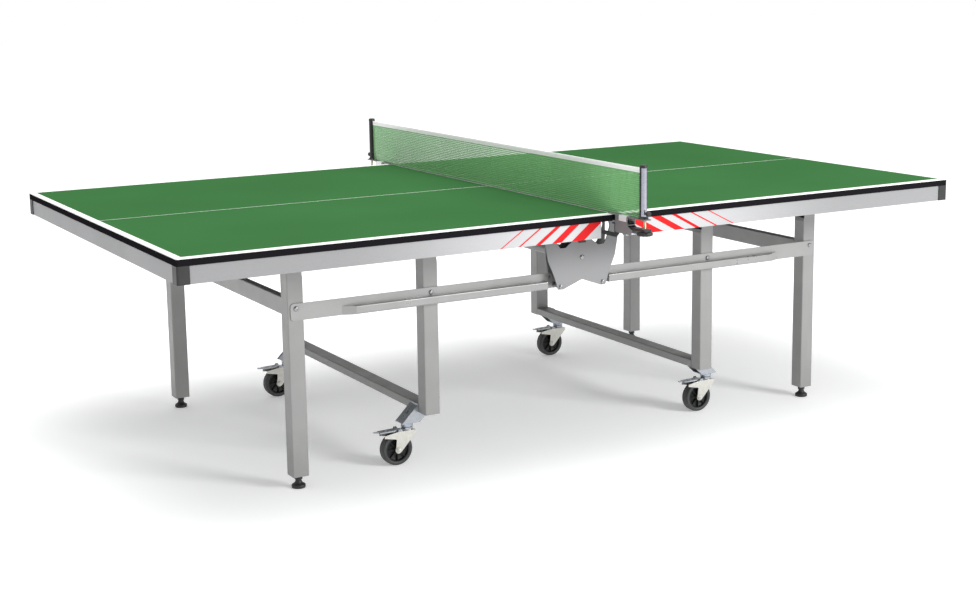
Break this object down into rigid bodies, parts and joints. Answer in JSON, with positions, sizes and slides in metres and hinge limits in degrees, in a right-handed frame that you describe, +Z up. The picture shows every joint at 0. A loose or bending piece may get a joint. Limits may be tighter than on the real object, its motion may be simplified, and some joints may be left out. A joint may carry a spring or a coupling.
{
  "type": "folding table tennis table",
  "caption": "Full-size folding table tennis table: green boards with grey aprons, square legs on casters and feet, side link bars and a clamp-on net.",
  "frame": {"origin": "on the floor under the middle of the net", "axes": "+X along the table's length, +Y across it, +Z up"},
  "size_m": [2.74, 1.894, 0.922],
  "materials": {
    "green_paint": "satin painted board",
    "apron_grey": "satin powder coat",
    "frame_grey": "satin silver-grey powder coat",
    "bar_grey": "satin silver-grey powder coat",
    "plate_grey": "satin powder coat",
    "zinc": "bright zinc",
    "black_plastic": "matt",
    "black_steel": "satin black",
    "wheel_black": "matt",
    "net_mesh": "open knotted mesh",
    "white_tape": "woven tape"
  },
  "bodies": {
    "inner_frame_left": {"inner_leg_near_left": "frame_grey", "inner_leg_far_left": "frame_grey", "caster_crossbar_left": "frame_grey", "caster_brackets_left": "zinc"},
    "top_left": {"board_left": "green_paint", "apron_left": "apron_grey", "corner_caps_left": "black_plastic", "carrier_rails_left": "black_steel", "leg_pivot_pins_left": "zinc"},
    "outer_frame_left": {"outer_leg_near_left": "frame_grey", "outer_leg_far_left": "frame_grey", "outer_crossbar_left": "frame_grey"},
    "bars_left": {"link_bars_left": "bar_grey", "bar_bolts_left": "zinc"},
    "inner_frame_right": {"inner_leg_near_right": "frame_grey", "inner_leg_far_right": "frame_grey", "caster_crossbar_right": "frame_grey", "caster_brackets_right": "zinc"},
    "top_right": {"board_right": "green_paint", "apron_right": "apron_grey", "corner_caps_right": "black_plastic", "carrier_rails_right": "black_steel", "leg_pivot_pins_right": "zinc"},
    "outer_frame_right": {"outer_leg_near_right": "frame_grey", "outer_leg_far_right": "frame_grey", "outer_crossbar_right": "frame_grey"},
    "bars_right": {"link_bars_right": "bar_grey", "bar_bolts_right": "zinc"},
    "centre_frame": {"centre_plate_near": "plate_grey", "centre_plate_far": "plate_grey", "hinge_plates": "plate_grey", "centre_bolts": "zinc", "centre_tube": "frame_grey", "net_brackets": "black_steel", "net_clamps": "apron_grey", "net_posts": "black_steel", "net": "net_mesh", "net_tape": "white_tape"},
    "fork_near_left": {"caster_fork_near_left": "zinc"},
    "wheel_near_left": {"caster_wheel_near_left": "wheel_black"},
    "pedal_near_left": {"brake_pedal_near_left": "zinc"},
    "foot_near_left": {"levelling_foot_near_left": "black_plastic"},
    "fork_far_left": {"caster_fork_far_left": "zinc"},
    "wheel_far_left": {"caster_wheel_far_left": "wheel_black"},
    "pedal_far_left": {"brake_pedal_far_left": "zinc"},
    "foot_far_left": {"levelling_foot_far_left": "black_plastic"},
    "fork_near_right": {"caster_fork_near_right": "zinc"},
    "wheel_near_right": {"caster_wheel_near_right": "wheel_black"},
    "pedal_near_right": {"brake_pedal_near_right": "zinc"},
    "foot_near_right": {"levelling_foot_near_right": "black_plastic"},
    "fork_far_right": {"caster_fork_far_right": "zinc"},
    "wheel_far_right": {"caster_wheel_far_right": "wheel_black"},
    "pedal_far_right": {"brake_pedal_far_right": "zinc"},
    "foot_far_right": {"levelling_foot_far_right": "black_plastic"},
    "jaw_near": {"clamp_jaw_near": "black_steel"},
    "screw_near": {"clamp_screw_near": "black_plastic"},
    "tension_near": {"tension_screw_near": "black_plastic"},
    "jaw_far": {"clamp_jaw_far": "black_steel"},
    "screw_far": {"clamp_screw_far": "black_plastic"},
    "tension_far": {"tension_screw_far": "black_plastic"}
  },
  "joints": [
    {"name": "fold", "type": "hinge", "parent": "inner_frame_left", "child": "top_left", "pos_m": [-0.515, 0, 0.731], "axis": [0, 1, 0], "range_deg": [0, 80]},
    {"name": "left_centre_pivot", "type": "hinge", "parent": "top_left", "child": "centre_frame", "pos_m": [-0.1, 0, 0.731], "axis": [0, 1, 0], "range_deg": [-80, 0]},
    {"name": "left_outer_leg_pivot", "type": "hinge", "parent": "top_left", "child": "outer_frame_left", "pos_m": [-0.951, 0, 0.731], "axis": [0, 1, 0], "range_deg": [-80, 0]},
    {"name": "left_bar_pivot", "type": "hinge", "parent": "inner_frame_left", "child": "bars_left", "pos_m": [-0.515, 0, 0.54], "axis": [0, 1, 0], "range_deg": [0, 80]},
    {"name": "right_centre_pivot", "type": "hinge", "parent": "centre_frame", "child": "top_right", "pos_m": [0.1, 0, 0.731], "axis": [0, 1, 0], "range_deg": [-80, 0]},
    {"name": "right_bar_pivot", "type": "hinge", "parent": "centre_frame", "child": "bars_right", "pos_m": [0.1, 0, 0.54], "axis": [0, 1, 0], "range_deg": [-80, 0]},
    {"name": "right_inner_leg_pivot", "type": "hinge", "parent": "top_right", "child": "inner_frame_right", "pos_m": [0.515, 0, 0.731], "axis": [0, 1, 0], "range_deg": [0, 80]},
    {"name": "right_outer_leg_pivot", "type": "hinge", "parent": "top_right", "child": "outer_frame_right", "pos_m": [0.951, 0, 0.731], "axis": [0, 1, 0], "range_deg": [0, 80]},
    {"name": "swivel_near_left", "type": "hinge", "parent": "inner_frame_left", "child": "fork_near_left", "pos_m": [-0.569, -0.474, 0.119], "axis": [0, 0, 1], "continuous": true},
    {"name": "wheel_spin_near_left", "type": "hinge", "parent": "fork_near_left", "child": "wheel_near_left", "pos_m": [-0.608, -0.474, 0.05], "axis": [0, 1, 0], "continuous": true},
    {"name": "brake_near_left", "type": "hinge", "parent": "fork_near_left", "child": "pedal_near_left", "pos_m": [-0.601, -0.474, 0.109], "axis": [0, -1, 0], "range_deg": [0, 10]},
    {"name": "foot_screw_near_left", "type": "slide", "parent": "outer_frame_left", "child": "foot_near_left", "axis": [0, 0, -1], "range_m": [0, 0.012]},
    {"name": "swivel_far_left", "type": "hinge", "parent": "inner_frame_left", "child": "fork_far_left", "pos_m": [-0.569, 0.474, 0.119], "axis": [0, 0, 1], "continuous": true},
    {"name": "wheel_spin_far_left", "type": "hinge", "parent": "fork_far_left", "child": "wheel_far_left", "pos_m": [-0.608, 0.474, 0.05], "axis": [0, 1, 0], "continuous": true},
    {"name": "brake_far_left", "type": "hinge", "parent": "fork_far_left", "child": "pedal_far_left", "pos_m": [-0.601, 0.474, 0.109], "axis": [0, -1, 0], "range_deg": [0, 10]},
    {"name": "foot_screw_far_left", "type": "slide", "parent": "outer_frame_left", "child": "foot_far_left", "axis": [0, 0, -1], "range_m": [0, 0.012]},
    {"name": "swivel_near_right", "type": "hinge", "parent": "inner_frame_right", "child": "fork_near_right", "pos_m": [0.569, -0.474, 0.119], "axis": [0, 0, 1], "continuous": true},
    {"name": "wheel_spin_near_right", "type": "hinge", "parent": "fork_near_right", "child": "wheel_near_right", "pos_m": [0.53, -0.474, 0.05], "axis": [0, 1, 0], "continuous": true},
    {"name": "brake_near_right", "type": "hinge", "parent": "fork_near_right", "child": "pedal_near_right", "pos_m": [0.537, -0.474, 0.109], "axis": [0, -1, 0], "range_deg": [0, 10]},
    {"name": "foot_screw_near_right", "type": "slide", "parent": "outer_frame_right", "child": "foot_near_right", "axis": [0, 0, -1], "range_m": [0, 0.012]},
    {"name": "swivel_far_right", "type": "hinge", "parent": "inner_frame_right", "child": "fork_far_right", "pos_m": [0.569, 0.474, 0.119], "axis": [0, 0, 1], "continuous": true},
    {"name": "wheel_spin_far_right", "type": "hinge", "parent": "fork_far_right", "child": "wheel_far_right", "pos_m": [0.53, 0.474, 0.05], "axis": [0, 1, 0], "continuous": true},
    {"name": "brake_far_right", "type": "hinge", "parent": "fork_far_right", "child": "pedal_far_right", "pos_m": [0.537, 0.474, 0.109], "axis": [0, -1, 0], "range_deg": [0, 10]},
    {"name": "foot_screw_far_right", "type": "slide", "parent": "outer_frame_right", "child": "foot_far_right", "axis": [0, 0, -1], "range_m": [0, 0.012]},
    {"name": "clamp_near", "type": "hinge", "parent": "centre_frame", "child": "jaw_near", "pos_m": [0, -0.838, 0.722], "axis": [-1, 0, 0], "range_deg": [0, 10]},
    {"name": "clamp_screw_near", "type": "slide", "parent": "jaw_near", "child": "screw_near", "axis": [0, 0, -1], "range_m": [0, 0.0149]},
    {"name": "net_tension_near", "type": "hinge", "parent": "centre_frame", "child": "tension_near", "pos_m": [0, -0.93, 0.78], "axis": [0, 1, 0], "continuous": true},
    {"name": "clamp_far", "type": "hinge", "parent": "centre_frame", "child": "jaw_far", "pos_m": [0, 0.838, 0.722], "axis": [1, 0, 0], "range_deg": [0, 10]},
    {"name": "clamp_screw_far", "type": "slide", "parent": "jaw_far", "child": "screw_far", "axis": [0, 0, -1], "range_m": [0, 0.0149]},
    {"name": "net_tension_far", "type": "hinge", "parent": "centre_frame", "child": "tension_far", "pos_m": [0, 0.93, 0.78], "axis": [0, 1, 0], "continuous": true}
  ],
  "couplings": [
    {"joint": "left_centre_pivot", "follows": "fold", "ratio": -1},
    {"joint": "left_outer_leg_pivot", "follows": "fold", "ratio": -1},
    {"joint": "left_bar_pivot", "follows": "fold", "ratio": 1},
    {"joint": "right_centre_pivot", "follows": "fold", "ratio": -1},
    {"joint": "right_bar_pivot", "follows": "fold", "ratio": -1},
    {"joint": "right_inner_leg_pivot", "follows": "fold", "ratio": 1},
    {"joint": "right_outer_leg_pivot", "follows": "fold", "ratio": 1},
    {"joint": "clamp_screw_near", "follows": "clamp_near", "m_per_rad": 0.085},
    {"joint": "clamp_screw_far", "follows": "clamp_far", "m_per_rad": 0.085}
  ]
}
